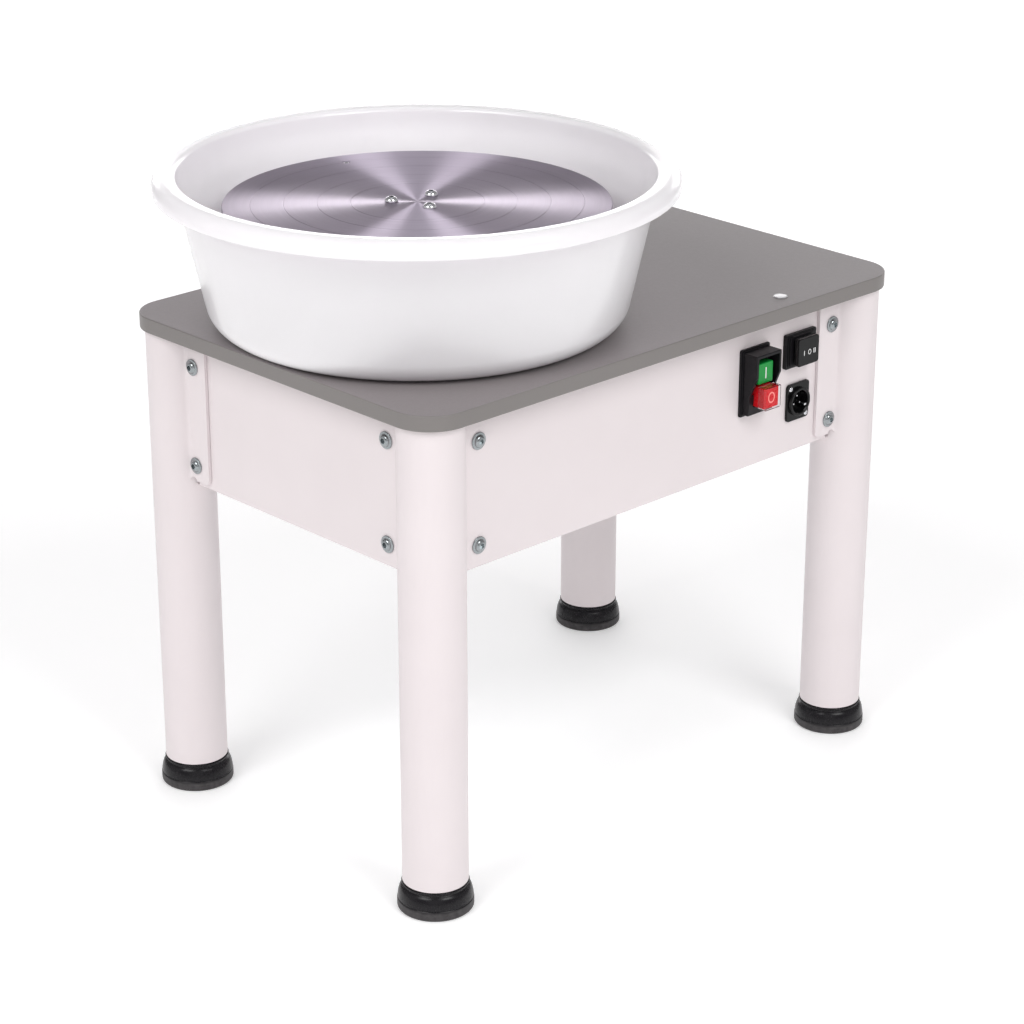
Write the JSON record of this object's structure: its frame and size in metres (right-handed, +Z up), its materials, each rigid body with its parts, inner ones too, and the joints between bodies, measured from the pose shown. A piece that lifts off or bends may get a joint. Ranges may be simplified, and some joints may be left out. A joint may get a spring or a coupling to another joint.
{
  "type": "pottery wheel",
  "caption": "Electric pottery wheel: round turned wheel head inside a white splash pan, on a grey-topped steel table with tube legs, apron panels, switches and a belt drive.",
  "frame": {"origin": "on the floor, at the middle of the whole wheel's bounding box", "axes": "+Z up; +X from the potter's end, where the wheel head is, towards the free end of the table; the switches are on the -Y side"},
  "size_m": [0.5592, 0.395, 0.519],
  "materials": {
    "powder_coat": "fine-textured warm white powder coat",
    "table_board": "matt grey laminate board, darker sawn edge",
    "pan_plastic": "smooth glossy white moulding",
    "wheel_aluminium": "turned and brushed in circles, with fine centring rings",
    "zinc_screws": "bright zinc plate",
    "bright_steel": "ground bright steel",
    "cast_metal": "turned casting",
    "black_plastic": "satin black moulding",
    "green_plastic": "semi-gloss green, white mark",
    "red_plastic": "semi-gloss red under a clear cover",
    "belt_rubber": "ribbed black rubber",
    "motor_enamel": "dark grey enamel",
    "sheet_steel": "zinc-coated sheet",
    "circuit_board": "green solder mask"
  },
  "bodies": {
    "table": {"table_top": "table_board", "table_plug": "pan_plastic", "right_apron": "powder_coat", "left_apron": "powder_coat", "front_apron": "powder_coat", "rear_apron": "powder_coat", "bottom_plate": "sheet_steel", "front_right_leg": "powder_coat", "rear_right_leg": "powder_coat", "rear_left_leg": "powder_coat", "front_left_leg": "powder_coat", "front_right_upper_screw_right": "zinc_screws", "front_right_upper_screw_front": "zinc_screws", "front_right_lower_screw_right": "zinc_screws", "front_right_lower_screw_front": "zinc_screws", "rear_right_upper_screw_right": "zinc_screws", "rear_right_upper_screw_rear": "zinc_screws", "rear_right_lower_screw_right": "zinc_screws", "rear_right_lower_screw_rear": "zinc_screws", "rear_left_upper_screw_left": "zinc_screws", "rear_left_upper_screw_rear": "zinc_screws", "rear_left_lower_screw_left": "zinc_screws", "rear_left_lower_screw_rear": "zinc_screws", "front_left_upper_screw_left": "zinc_screws", "front_left_upper_screw_front": "zinc_screws", "front_left_lower_screw_left": "zinc_screws", "front_left_lower_screw_front": "zinc_screws", "splash_pan": "pan_plastic", "bearing_housing": "cast_metal", "upper_bearing": "bright_steel", "lower_bearing": "bright_steel", "drive_belt": "belt_rubber", "motor": "motor_enamel", "motor_bracket": "sheet_steel", "controller_tray": "sheet_steel", "controller_board": "circuit_board", "motor_switch": "black_plastic", "rocker_frame": "black_plastic", "pedal_socket": "black_plastic", "power_inlet": "black_plastic"},
    "wheel": {"wheel_head": "wheel_aluminium", "head_screw_1": "bright_steel", "head_screw_2": "bright_steel", "head_screw_3": "bright_steel", "bat_pin_plug_1": "bright_steel", "bat_pin_plug_2": "bright_steel", "hub": "cast_metal", "spindle": "bright_steel", "driven_pulley": "cast_metal"},
    "motor_rotor": {"motor_shaft": "bright_steel", "motor_pulley": "cast_metal"},
    "start_button": {"green_button": "green_plastic"},
    "stop_button": {"red_button": "red_plastic"},
    "rocker": {"direction_rocker": "black_plastic"},
    "front_right_foot": {"front_right_foot": "black_plastic"},
    "rear_right_foot": {"rear_right_foot": "black_plastic"},
    "rear_left_foot": {"rear_left_foot": "black_plastic"},
    "front_left_foot": {"front_left_foot": "black_plastic"}
  },
  "joints": [
    {"name": "wheel_spin", "type": "hinge", "parent": "table", "child": "wheel", "pos_m": [-0.08213, 0, 0.492], "axis": [0, 0, 1], "continuous": true},
    {"name": "motor_spin", "type": "hinge", "parent": "table", "child": "motor_rotor", "pos_m": [0.07988, 0, 0.298], "axis": [0, 0, 1], "continuous": true},
    {"name": "start_button_press", "type": "slide", "parent": "table", "child": "start_button", "axis": [0, 1, 0], "range_m": [0, 0.003], "stiffness_N_per_m": 400},
    {"name": "stop_button_press", "type": "slide", "parent": "table", "child": "stop_button", "axis": [0, 1, 0], "range_m": [0, 0.004], "stiffness_N_per_m": 400},
    {"name": "direction_tilt", "type": "hinge", "parent": "table", "child": "rocker", "pos_m": [0.18247, -0.15775, 0.3518], "axis": [0, 0, 1], "range_deg": [-8, 8]},
    {"name": "front_right_foot_turn", "type": "hinge", "parent": "table", "child": "front_right_foot", "pos_m": [-0.20158, -0.14425, 0], "axis": [0, 0, 1], "continuous": true},
    {"name": "rear_right_foot_turn", "type": "hinge", "parent": "table", "child": "rear_right_foot", "pos_m": [0.24993, -0.14425, 0], "axis": [0, 0, 1], "continuous": true},
    {"name": "rear_left_foot_turn", "type": "hinge", "parent": "table", "child": "rear_left_foot", "pos_m": [0.24993, 0.14425, 0], "axis": [0, 0, 1], "continuous": true},
    {"name": "front_left_foot_turn", "type": "hinge", "parent": "table", "child": "front_left_foot", "pos_m": [-0.20158, 0.14425, 0], "axis": [0, 0, 1], "continuous": true}
  ],
  "couplings": [
    {"joint": "motor_spin", "follows": "wheel_spin", "ratio": 4.7267}
  ]
}
